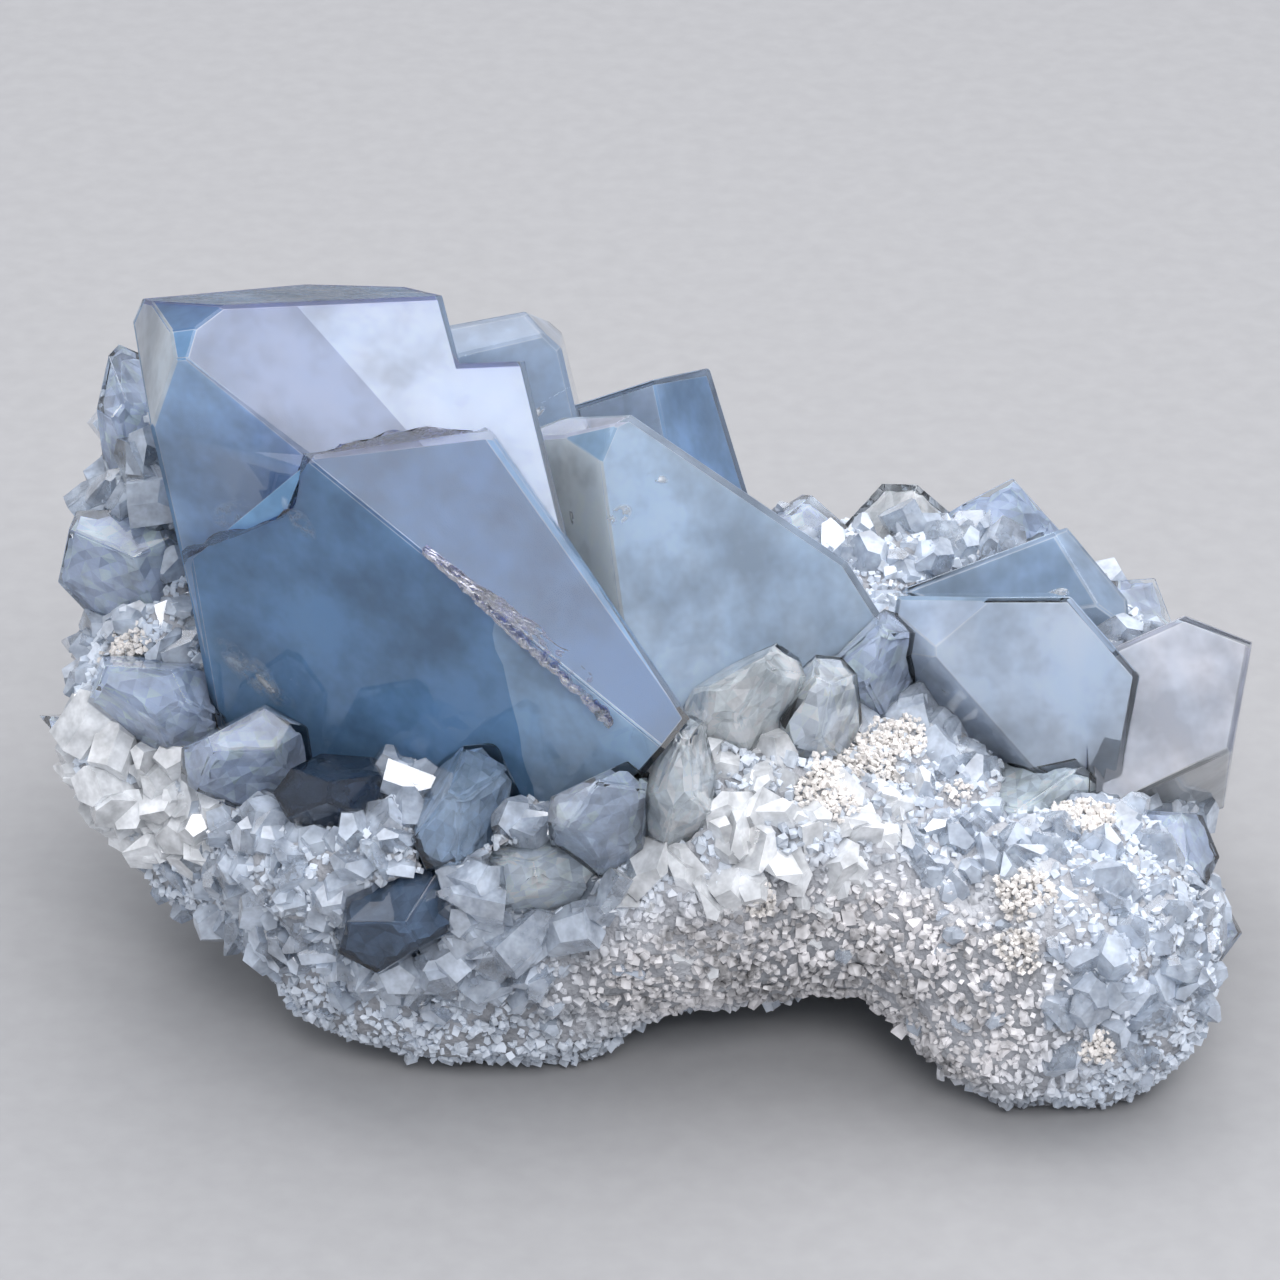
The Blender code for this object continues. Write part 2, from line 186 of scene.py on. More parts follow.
class CrystalSettings(bpy.types.PropertyGroup):
    deep_blue: FloatVectorProperty(
        name="Great Crystal", description="Haze colour and density of the great crystal",
        subtype="COLOR", size=4, min=0.0, max=1.0, default=(0.255, 0.465, 0.73, 0.90))
    # Painted reflection: the body's upper face is set darker than its front, and the tip's upper face
    # lilac and whitish, standing in for what these faces mirror.
    upper_blue: FloatVectorProperty(
        name="Great Crystal, Upper Face", description="Haze colour and density under that face",
        subtype="COLOR", size=4, min=0.0, max=1.0, default=(0.14, 0.26, 0.46, 0.90))
    tip_blue: FloatVectorProperty(
        name="Great Crystal, Tip", description="Haze colour and density of its tip, in front",
        subtype="COLOR", size=4, min=0.0, max=1.0, default=(0.48, 0.68, 0.95, 0.85))
    tip_lilac: FloatVectorProperty(
        name="Great Crystal, Tip Left", description="Haze left of the sealed plane",
        subtype="COLOR", size=4, min=0.0, max=1.0, default=(0.42, 0.49, 0.66, 0.88))
    tip_white: FloatVectorProperty(
        name="Great Crystal, Tip Right", description="Haze right of the sealed plane",
        subtype="COLOR", size=4, min=0.0, max=1.0, default=(0.69, 0.77, 0.91, 0.94))
    # In the hazes this bevelled line is lightened towards white, a painted highlight along the
    # crystal edges.
    edge_width: FloatProperty(
        name="Edge Width", description="Width of the worn line along each crystal edge",
        subtype="DISTANCE", unit="LENGTH", min=0.0, default=0.00012)
    haze_depth: FloatProperty(
        name="Haze Depth", description="How far under the faces the haze begins",
        subtype="DISTANCE", unit="LENGTH", min=0.0, default=0.0001)
    seat_overlap: FloatProperty(
        name="Seat Overlap", description="How far a crystal swells into the wall that it grew on",
        subtype="DISTANCE", unit="LENGTH", min=0.0, default=0.00035)


class WallSettings(bpy.types.PropertyGroup):
    skin_step: FloatProperty(
        name="Skin Step", description="Size of the wall skin's own facets", subtype="DISTANCE",
        unit="LENGTH", min=0.0005, default=0.0009)
    sugar_count: IntProperty(
        name="Sugar Grains", description="How many fine grains cover the wall", min=0,
        default=35000)
    druse_count: IntProperty(
        name="Small Crystals", description="How many small clear crystals grow on the wall",
        min=0, default=4200)
    sugar_white: FloatVectorProperty(
        name="Sugar", description="Colour of the sugary grains", subtype="COLOR", size=3,
        min=0.0, max=1.0, default=(0.66, 0.72, 0.80))
    sugar_warm: FloatVectorProperty(
        name="Open Front", description="Colour of the grains on the wall's open front",
        subtype="COLOR", size=3, min=0.0, max=1.0, default=(0.68, 0.665, 0.67))
    crust_beige: FloatVectorProperty(
        name="Crust", description="Colour of the earthy crust", subtype="COLOR", size=3,
        min=0.0, max=1.0, default=(0.76, 0.73, 0.70))
    crust_count: IntProperty(
        name="Crust Grains", description="How many grains make up the crust", min=0,
        default=20000)


class StageSettings(bpy.types.PropertyGroup):
    floor_colour: FloatVectorProperty(
        name="Floor", description="Colour of the studio floor", subtype="COLOR", size=3,
        min=0.0, max=1.0, default=(0.34, 0.34, 0.345))
    overhead_power: FloatProperty(
        name="Overhead Light", description="Power of the large light above", unit="POWER",
        min=0.0, default=5.2)
    side_power: FloatProperty(
        name="Side Light", description="Power of the light at the left", unit="POWER", min=0.0,
        default=0.7)
    front_power: FloatProperty(
        name="Front Light", description="Power of the light above the camera", unit="POWER",
        min=0.0, default=4.4)
    camera_distance: FloatProperty(
        name="Camera Distance", description="From the lens to the middle of the cluster",
        subtype="DISTANCE", unit="LENGTH", min=0.1, default=0.42)


# ---- mesh helpers


def node_mesh(name):
    """A merged copy of a CAD node's mesh, with each flat face in one piece."""
    bm = bmesh.new()
    bm.from_mesh(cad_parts[name].data)
    bmesh.ops.remove_doubles(bm, verts=bm.verts[:], dist=MERGE)
    bmesh.ops.dissolve_limit(
        bm, angle_limit=FLAT_ANGLE, verts=bm.verts[:], edges=bm.edges[:])
    bm.normal_update()
    return bm


def swell(bm, amount):
    """Move every face outwards by the same amount."""
    moves = [(v, v.normal * amount * min(v.calc_shell_factor(), 3.0)) for v in bm.verts]
    for corner, move in moves:
        corner.co += move


def tint(bm, pick):
    """Write each face's haze colour and clearness into the mesh."""
    layer = bm.loops.layers.float_color.new("haze")
    for face in bm.faces:
        value = pick(face)
        for loop in face.loops:
            loop[layer] = value


def seal_haze(name, bm, pick, settings, edge_width, pale):
    """The haze body just under a crystal's faces, its bevelled edges lightened as a painted
    highlight.
    """
    tint(bm, pick)
    swell(bm, -settings.haze_depth)
    if edge_width:
        bevel_edges(bm, edge_width, pale)
    cloud = 220.0 if name in LESSER_CRYSTALS else 110.0
    return place(f"{name}_haze", bm, haze_material(name.replace("_", " ") + " haze", cloud))


def pick_by_direction(tints):
    """The tint whose direction a face looks in, or the first one; so faces are painted lighter or
    darker by where they look.
    """
    def pick(face):
        for direction, value in tints[1:]:
            if face.normal.dot(Vector(direction)) > 0.98:
                return value
        return tints[0][1]
    return pick


def bevel_edges(bm, width, pale=0.0):
    """Bevel the sharp edges into a narrow line; in a haze, pale lightens that line towards white as a
    painted highlight along the edge.
    """
    sharp = [e for e in bm.edges if e.is_manifold and e.calc_face_angle(0.0) > 0.15]
    if not sharp:
        return
    bevelled = bmesh.ops.bevel(
        bm, geom=sharp, offset=width, offset_type="OFFSET", segments=1, profile=0.5,
        affect="EDGES", material=-1, clamp_overlap=True)
    layer = bm.loops.layers.float_color.get("haze")
    # Painted highlight: the bevelled faces of a haze are lightened towards white.
    for face in bevelled["faces"] if layer and pale else ():
        for loop in face.loops:
            red, green, blue, dense = loop[layer]
            loop[layer] = (*(c + (0.95 - c) * pale for c in (red, green, blue)), dense)


def split_face(bm, faces, outward, reach, wander=0.0):
    """Cut some faces along a plane, and let the cut wander where it crosses them."""
    corners = {v for f in faces for v in f.verts}
    edges = {e for f in faces for e in f.edges}
    cut = bmesh.ops.bisect_plane(
        bm, geom=[*corners, *edges, *faces], dist=1e-6, plane_co=outward * reach * MM,
        plane_no=outward)
    lines = [e for e in cut["geom_cut"] if isinstance(e, bmesh.types.BMEdge)]
    if not wander or not lines:
        return
    normal = faces[0].normal.copy()
    across = (outward - normal * outward.dot(normal)).normalized()
    ends = {v for e in lines for v in e.verts}
    bmesh.ops.subdivide_edges(bm, edges=lines, cuts=17, use_grid_fill=False)
    for corner in bm.verts:
        if corner in ends or abs(corner.co.dot(outward) - reach * MM) > 0.01 * MM:
            continue
        if abs(corner.co.dot(normal) - faces[0].verts[0].co.dot(normal)) > 0.05 * MM:
            continue
        where = corner.co / MM
        corner.co += across * MM * wander * (
            noise.noise(where / 2.2) + 0.4 * noise.noise(where / 0.8))


def jag_break(bm):
    """Turn the straight rim of the great crystal's break into a torn, curving one."""
    def on_break(corner):
        return abs(corner.co.dot(BREAK_OUT) - BREAK_REACH * MM) < 0.03 * MM

    rim = [
        e for e in bm.edges
        if e.calc_length() > 2 * MM and on_break(e.verts[0]) and on_break(e.verts[1])]
    bmesh.ops.subdivide_edges(bm, edges=rim, cuts=21, use_grid_fill=False)
    for corner in bm.verts:
        if not on_break(corner):
            continue
        where = corner.co / MM
        torn = noise.noise(where / 0.9) * 0.45 + noise.noise(where / 3.0) * 0.4
        if abs(where.dot(FRONT_OUT) - TIP_FRONT_REACH) < 1.0:
            along = min(max((where.x + 37.5) / 10.5, 0.0), 1.0)
            shift = -2.7 * math.sin(math.pi * along ** 1.9)
            outward = FRONT_OUT
        elif abs(where.dot(UPPER_OUT) - TIP_UPPER_REACH) < 1.0:
            along = min(max((where.x + 26.7) / 15.4, 0.0), 1.0)
            shift = 1.0 * math.sin(math.pi * along)
            outward = UPPER_OUT
        else:
            continue
        fade = math.sin(math.pi * along) ** 0.3 if 0.0 < along < 1.0 else 0.0
        slide = BREAK_OUT - outward * BREAK_OUT.dot(outward)
        corner.co += slide.normalized() * (shift + torn * fade) * MM


def place(name, bm, material, nodes=(), smooth=False):
    """Make the finished piece: its object and its material, hiding the CAD nodes that it stands for.
    """
    mesh = bpy.data.meshes.new(name)
    bm.to_mesh(mesh)
    bm.free()
    if smooth:
        mesh.shade_smooth()
    mesh.materials.append(material)
    piece = bpy.data.objects.new(name, mesh)
    bpy.context.scene.collection.objects.link(piece)
    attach(piece, "root")
    if nodes:
        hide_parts(*nodes)
    return piece


def habit_mesh(name, length, width, thickness, root, rng, skew=0.08):
    """A small celestite crystal cut from a cube: prism, tip and shoulder faces, one root face."""
    bm = bmesh.new()
    bmesh.ops.create_cube(bm, size=4 * length)
    planes = [((-1.0, 0.0, 0.0), root)]
    for side in (1, -1):
        planes.append(((0.0, 0.0, side), thickness / 2 * rng.uniform(0.8, 1.1)))
        planes.append((
            (math.cos(TIP_FROM_LENGTH), side * math.sin(TIP_FROM_LENGTH), 0.0),
            length * math.cos(TIP_FROM_LENGTH) * rng.uniform(0.85, 1.0)))
        planes.append((
            (math.cos(SHOULDER_FROM_LENGTH), 0.0, side * math.sin(SHOULDER_FROM_LENGTH)),
            thickness * rng.uniform(0.46, 0.58)))
        for other in (1, -1):
            planes.append((
                (0.0, side * math.cos(DOME_FROM_SIDE), other * math.sin(DOME_FROM_SIDE)),
                width / 2 * rng.uniform(0.8, 1.05)))
    for normal, distance in planes:
        outward = Vector(normal) + Vector([rng.uniform(-skew, skew) for _axis in range(3)])
        outward.normalize()
        cut_off(bm, outward * distance, outward)
    mesh = bpy.data.meshes.new(name)
    bm.to_mesh(mesh)
    bm.free()
    return mesh


def cut_off(bm, point, normal):
    """Slice away what lies beyond a plane and close the cut."""
    everything = bm.verts[:] + bm.edges[:] + bm.faces[:]
    cut = bmesh.ops.bisect_plane(
        bm, geom=everything, dist=1e-7, plane_co=point, plane_no=normal, clear_outer=True)
    rim = [e for e in cut["geom_cut"] if isinstance(e, bmesh.types.BMEdge)]
    if rim:
        bmesh.ops.edgeloop_fill(bm, edges=rim)


def grain_mesh(name, rng):
    """A sugar grain: a cube with a few of its corners cut off, about one unit across."""
    bm = bmesh.new()
    bmesh.ops.create_cube(bm, size=1.0)
    for _cut in range(3):
        outward = Vector([rng.uniform(-1.0, 1.0) for _axis in range(3)])
        outward.normalize()
        cut_off(bm, outward * rng.uniform(0.36, 0.5), outward)
    mesh = bpy.data.meshes.new(name)
    bm.to_mesh(mesh)
    bm.free()
    return mesh


def gather(shapes, places):
    """One bmesh holding a copy of a shape for each (shape number, matrix)."""
    bm = bmesh.new()
    for number, matrix in places:
        scrap = shapes[number].copy()
        scrap.transform(matrix)
        bm.from_mesh(scrap)
        bpy.data.meshes.remove(scrap)
    return bm


def surface_points(mesh, count, rng):
    """Random points spread evenly over a mesh, each with the normal there."""
    mesh.calc_loop_triangles()
    triangles = mesh.loop_triangles
    total = sum(t.area for t in triangles)
    points = []
    for t in triangles:
        share = count * t.area / total
        amount = int(share) + (rng.random() < share - int(share))
        if amount:
            a, b, c = (mesh.vertices[i].co for i in t.vertices)
        for _point in range(amount):
            u, v = rng.random(), rng.random()
            if u + v > 1.0:
                u, v = 1.0 - u, 1.0 - v
            points.append((a + (b - a) * u + (c - a) * v, t.normal.copy()))
    return points


class Crystals:
    """Knows whether a point lies inside one of the CAD crystals, and how deep."""

    def __init__(self):
        self.trees = []
        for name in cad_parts:
            if name == "matrix":
                continue
            bm = node_mesh(name)
            low, high = (Vector(c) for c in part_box(name))
            self.trees.append((low, high, BVHTree.FromBMesh(bm)))
            bm.free()

    def depth(self, point):
        """How far inside a crystal the point is, below zero outside them all."""
        deepest = -1.0
        for low, high, tree in self.trees:
            if all(low[a] - 0.002 < point[a] < high[a] + 0.002 for a in range(3)):
                near, normal, _face, distance = tree.find_nearest(point)
                inside = distance if (point - near).dot(normal) < 0 else -distance
                deepest = max(deepest, inside)
        return deepest

    def nearest(self, point):
        """The nearest spot on any crystal and the way that its face looks."""
        hits = (tree.find_nearest(point) for _low, _high, tree in self.trees)
        near, normal, _face, _distance = min(hits, key=lambda hit: hit[3])
        return near, normal


# ---- materials


def new_material(name):
    material = bpy.data.materials.new(name)
    material.use_nodes = True
    tree = material.node_tree
    return material, tree, tree.nodes["Principled BSDF"]


def texture_place(tree, stretch=(1.0, 1.0, 1.0), turn=(0.0, 0.0, 0.0)):
    """Object coordinates, stretched and turned."""
    coordinates = tree.nodes.new("ShaderNodeTexCoord")
    mapping = tree.nodes.new("ShaderNodeMapping")
    mapping.inputs["Scale"].default_value = stretch
    mapping.inputs["Rotation"].default_value = [math.radians(a) for a in turn]
    tree.links.new(coordinates.outputs["Object"], mapping.inputs["Vector"])
    return mapping.outputs["Vector"]


def noise_node(tree, vector, scale, detail=3.0, roughness=0.5):
    node = tree.nodes.new("ShaderNodeTexNoise")
    node.inputs["Scale"].default_value = scale
    node.inputs["Detail"].default_value = detail
    node.inputs["Roughness"].default_value = roughness
    tree.links.new(vector, node.inputs["Vector"])
    return node.outputs["Fac"]


def ramp(tree, value, stops):
    node = tree.nodes.new("ShaderNodeValToRGB")
    ends = node.color_ramp.elements
    for index, (position, colour) in enumerate(stops):
        stop = ends[index] if index < 2 else ends.new(position)
        stop.position = position
        stop.color = (*colour, 1.0)
    tree.links.new(value, node.inputs["Fac"])
    return node.outputs["Color"]


def spread(tree, value, low, high, start=0.3, end=0.7):
    """Stretch the middle of a noise to the range low to high."""
    node = tree.nodes.new("ShaderNodeMapRange")
    node.inputs["From Min"].default_value = start
    node.inputs["From Max"].default_value = end
    node.inputs["To Min"].default_value = low
    node.inputs["To Max"].default_value = high
    tree.links.new(value, node.inputs["Value"])
    return node.outputs["Result"]


def bump(tree, shader, height, depth, strength=1.0):
    node = tree.nodes.new("ShaderNodeBump")
    node.inputs["Strength"].default_value = strength
    node.inputs["Distance"].default_value = depth
    tree.links.new(height, node.inputs["Height"])
    tree.links.new(node.outputs["Normal"], shader.inputs["Normal"])


def shade(colour, factor):
    return tuple(min(1.0, channel * factor) for channel in colour)


def add_volume(tree, absorb, density):
    """The blue that light takes on along its way through a crystal."""
    volume = tree.nodes.new("ShaderNodeVolumeAbsorption")
    volume.inputs["Color"].default_value = (*absorb, 1.0)
    volume.inputs["Density"].default_value = density
    output = next(n for n in tree.nodes if n.type == "OUTPUT_MATERIAL")
    tree.links.new(volume.outputs["Volume"], output.inputs["Volume"])


def clear_material(name, turn=(0.0, 0.0, 0.0), torn=False):
    """Clear celestite with fine growth lines, or torn open along a pitted face."""
    material, tree, shader = new_material(name)
    wisps = noise_node(tree, texture_place(tree, (1.0, 1.0, 0.45), turn), 260.0, 2.0, 0.6)
    colour = ramp(tree, wisps, [(0.3, (0.88, 0.94, 1.0)), (0.7, (1.0, 1.0, 1.0))])
    tree.links.new(colour, shader.inputs["Base Color"])
    tree.links.new(
        spread(tree, wisps, 0.1 if torn else 0.0, 0.4 if torn else 0.06),
        shader.inputs["Roughness"])
    shader.inputs["Transmission Weight"].default_value = 1.0
    shader.inputs["IOR"].default_value = 1.62
    if torn:
        pits = noise_node(tree, texture_place(tree), 700.0, 6.0, 0.65)
        bump(tree, shader, pits, 0.0006, 0.9)
    else:
        lines = noise_node(tree, texture_place(tree, (1.0, 1.0, 0.06), turn), 300.0, 1.0)
        bump(tree, shader, lines, 0.00002, 0.5)
    add_volume(tree, (0.6, 0.8, 0.97), 18.0)
    return material


def haze_material(name, cloud=110.0):
    """The milky haze sealed in a crystal: each face's colour, partly painted light and reflection on
    the large crystals, in drifting clouds.
    """
    material, tree, shader = new_material(name)
    haze = tree.nodes.new("ShaderNodeAttribute")
    haze.attribute_name = "haze"
    drift = noise_node(tree, texture_place(tree), cloud, 4.0, 0.62)
    colour = tree.nodes.new("ShaderNodeVectorMath")
    colour.operation = "SCALE"
    tree.links.new(haze.outputs["Color"], colour.inputs[0])
    tree.links.new(spread(tree, drift, 0.88, 1.12, 0.36, 0.64), colour.inputs["Scale"])
    tree.links.new(colour.outputs["Vector"], shader.inputs["Base Color"])
    dense = tree.nodes.new("ShaderNodeMath")
    dense.use_clamp = True
    tree.links.new(haze.outputs["Alpha"], dense.inputs[0])
    tree.links.new(spread(tree, drift, -0.16, 0.16, 0.36, 0.64), dense.inputs[1])
    tree.links.new(dense.outputs["Value"], shader.inputs["Alpha"])
    tree.links.new(spread(tree, drift, 0.8, 1.0), shader.inputs["Roughness"])
    shader.inputs["Specular IOR Level"].default_value = 0.0
    return material


def druse_material(name):
    """Small celestite crystals: clear where they are clean and hazy where they are not."""
    material, tree, shader = new_material(name)
    haze = tree.nodes.new("ShaderNodeAttribute")
    haze.attribute_name = "haze"
    drift = noise_node(tree, texture_place(tree), 500.0, 3.0, 0.62)
    colour = tree.nodes.new("ShaderNodeVectorMath")
    colour.operation = "SCALE"
    tree.links.new(haze.outputs["Color"], colour.inputs[0])
    tree.links.new(spread(tree, drift, 0.86, 1.14, 0.34, 0.66), colour.inputs["Scale"])
    tree.links.new(colour.outputs["Vector"], shader.inputs["Base Color"])
    clear = tree.nodes.new("ShaderNodeMath")
    clear.use_clamp = True
    tree.links.new(haze.outputs["Alpha"], clear.inputs[0])
    tree.links.new(spread(tree, drift, 0.10, -0.10, 0.34, 0.66), clear.inputs[1])
    tree.links.new(clear.outputs["Value"], shader.inputs["Transmission Weight"])
    tree.links.new(spread(tree, drift, 0.0, 0.06), shader.inputs["Roughness"])
    shader.inputs["IOR"].default_value = 1.62
    shader.inputs["Coat Weight"].default_value = 0.6
    shader.inputs["Coat Roughness"].default_value = 0.03
    shader.inputs["Coat IOR"].default_value = 1.62
    add_volume(tree, (0.6, 0.78, 0.98), 20.0)
    return material


def wall_material(settings):
    """The ground between the grains: grey stone under earthy crust, with dark stops as painted shade,
    so that the gaps between grains read as shadowed pits.
    """
    material, tree, shader = new_material("wall ground")
    place_vector = texture_place(tree)
    patches = noise_node(tree, place_vector, 120.0, 5.0, 0.6)
    fine = noise_node(tree, place_vector, 1600.0, 3.0)
    # Painted shade: the dark stops make the gaps between grains look like shadowed pits.
    colour = ramp(tree, patches, [
        (0.36, (0.26, 0.27, 0.29)), (0.70, (0.58, 0.60, 0.63)), (0.52, (0.43, 0.44, 0.47))])
    tree.links.new(colour, shader.inputs["Base Color"])
    tree.links.new(spread(tree, fine, 0.55, 0.95), shader.inputs["Roughness"])
    bump(tree, shader, fine, 0.0005, 1.0)
    return material


def near_patch(tree, middle, reach):
    """One inside a rounded patch of the piece, fading to nought past it (millimetres)."""
    coordinates = tree.nodes.new("ShaderNodeTexCoord")
    mapping = tree.nodes.new("ShaderNodeMapping")
    mapping.vector_type = "TEXTURE"
    mapping.inputs["Location"].default_value = [m * MM for m in middle]
    mapping.inputs["Scale"].default_value = [r * MM for r in reach]
    tree.links.new(coordinates.outputs["Object"], mapping.inputs["Vector"])
    length = tree.nodes.new("ShaderNodeVectorMath")
    length.operation = "LENGTH"
    tree.links.new(mapping.outputs["Vector"], length.inputs[0])
    return spread(tree, length.outputs["Value"], 1.0, 0.0, 0.75, 1.15)


def blend(tree, factor, first, second):
    """Mix two colours, each a link or a plain colour."""
    node = tree.nodes.new("ShaderNodeMix")
    node.data_type = "RGBA"
    tree.links.new(factor, node.inputs["Factor"])
    for socket, value in ((node.inputs["A"], first), (node.inputs["B"], second)):
        if isinstance(value, tuple):
            socket.default_value = (*value, 1.0)
        else:
            tree.links.new(value, socket)
    return node.outputs["Result"]


def grain_tone(tree):
    """A value that differs from grain to grain and drifts from patch to patch."""
    place_vector = texture_place(tree)
    single = noise_node(tree, place_vector, 1100.0, 1.0)
    patches = noise_node(tree, place_vector, 150.0, 4.0)
    node = tree.nodes.new("ShaderNodeMix")
    node.inputs["Factor"].default_value = 0.5
    tree.links.new(single, node.inputs["A"])
    tree.links.new(patches, node.inputs["B"])
    return single, node.outputs["Result"]


def sugar_material(settings):
    """White grains, icy to the sides and warmer and greyer on the open front of the wall."""
    material, tree, shader = new_material("sugar grains")
    single, tone = grain_tone(tree)
    white, warm = tuple(settings.sugar_white), tuple(settings.sugar_warm)
    icy = ramp(tree, tone, [(0.38, shade(white, 0.72)), (0.62, shade(white, 1.12)), (0.5, white)])
    earthy = ramp(tree, tone, [
        (0.40, shade(warm, 0.42)), (0.60, shade(warm, 1.3)), (0.47, shade(warm, 0.9))])
    tree.links.new(
        blend(tree, near_patch(tree, OPEN_FRONT, OPEN_FRONT_REACH), icy, earthy),
        shader.inputs["Base Color"])
    tree.links.new(spread(tree, single, 0.2, 0.6), shader.inputs["Roughness"])
    shader.inputs["IOR"].default_value = 1.62
    return material


def crust_material(settings):
    """Earthy beige crust with brown specks."""
    material, tree, shader = new_material("beige crust")
    single, tone = grain_tone(tree)
    beige = tuple(settings.crust_beige)
    colour = ramp(tree, tone, [
        (0.36, shade(beige, 0.5)), (0.60, shade(beige, 1.2)), (0.44, shade(beige, 0.95))])
    tree.links.new(colour, shader.inputs["Base Color"])
    tree.links.new(spread(tree, single, 0.7, 1.0), shader.inputs["Roughness"])
    return material


def sheet_density(tree, pattern, start, end):
    """How dense a sealed sheet is: wisps of a pattern that thin out towards its rim."""
    rim = tree.nodes.new("ShaderNodeAttribute")
    rim.attribute_name = "haze"
    dense = tree.nodes.new("ShaderNodeMath")
    dense.operation = "MULTIPLY"
    tree.links.new(spread(tree, pattern, 0.0, 1.0, start, end), dense.inputs[0])
    tree.links.new(rim.outputs["Alpha"], dense.inputs[1])
    return dense.outputs["Value"]


def veil_material():
    """A healed crack: white wisps with clear gaps between."""
    material, tree, shader = new_material("sealed veil")
    wisps = noise_node(tree, texture_place(tree), 520.0, 6.0, 0.68)
    tree.links.new(ramp(tree, wisps, [
        (0.4, (0.56, 0.76, 1.0)), (0.6, (0.74, 0.87, 1.0))]), shader.inputs["Base Color"])
    shader.inputs["Roughness"].default_value = 0.3
    tree.links.new(sheet_density(tree, wisps, 0.44, 0.66), shader.inputs["Alpha"])
    return material


def flash_material():
    """An open crack inside a crystal: it mirrors the light in crumpled patches."""
    material, tree, shader = new_material("sealed flash")
    crumple = noise_node(tree, texture_place(tree), 900.0, 4.0, 0.6)
    tree.links.new(ramp(tree, crumple, [
        (0.35, (0.86, 0.92, 1.0)), (0.55, (1.0, 1.0, 1.0))]), shader.inputs["Base Color"])
    tree.links.new(spread(tree, crumple, 0.04, 0.2), shader.inputs["Roughness"])
    tree.links.new(sheet_density(tree, crumple, 0.46, 0.52), shader.inputs["Alpha"])
    shader.inputs["IOR"].default_value = 2.5
    bump(tree, shader, crumple, 0.0003, 0.8)
    return material


# ---- operators


class BuildWall(bpy.types.Operator):
    """Skin the piece of geode wall and roughen it"""
    bl_idname = "celestite.build_wall"
    bl_label = "Wall"

    def execute(self, context):
        settings = context.scene.celestite_wall
        bm = node_mesh("matrix")
        mesh = bpy.data.meshes.new("wall_draft")
        bmesh.ops.triangulate(bm, faces=bm.faces[:])
        bm.to_mesh(mesh)
        bm.free()
        draft = bpy.data.objects.new("wall_draft", mesh)
        context.scene.collection.objects.link(draft)
        skin = draft.modifiers.new("Skin", "REMESH")
        skin.mode = "VOXEL"
        skin.voxel_size = settings.skin_step
        evaluated = draft.evaluated_get(context.evaluated_depsgraph_get())
        bm = bmesh.new()
        bm.from_mesh(evaluated.to_mesh())
        evaluated.to_mesh_clear()
        bpy.data.objects.remove(draft, do_unlink=True)
        bpy.data.meshes.remove(mesh)
        bm.normal_update()
        moves = []
        for corner in bm.verts:
            where = corner.co / MM
            depth = 0.55 * noise.noise(where / 3.1) + 0.45 * noise.noise(where / 1.3) - 0.35
            if corner.co.z < 0.3 * MM:
                depth = 0.0
            moves.append(corner.normal * depth * MM)
        for corner, move in zip(bm.verts, moves):
            corner.co += move
        if len(bm.verts) < 1000:
            raise RuntimeError("the wall's skin came out empty")
        place("wall_skin", bm, wall_material(settings), ("matrix",), smooth=True)
        return {"FINISHED"}


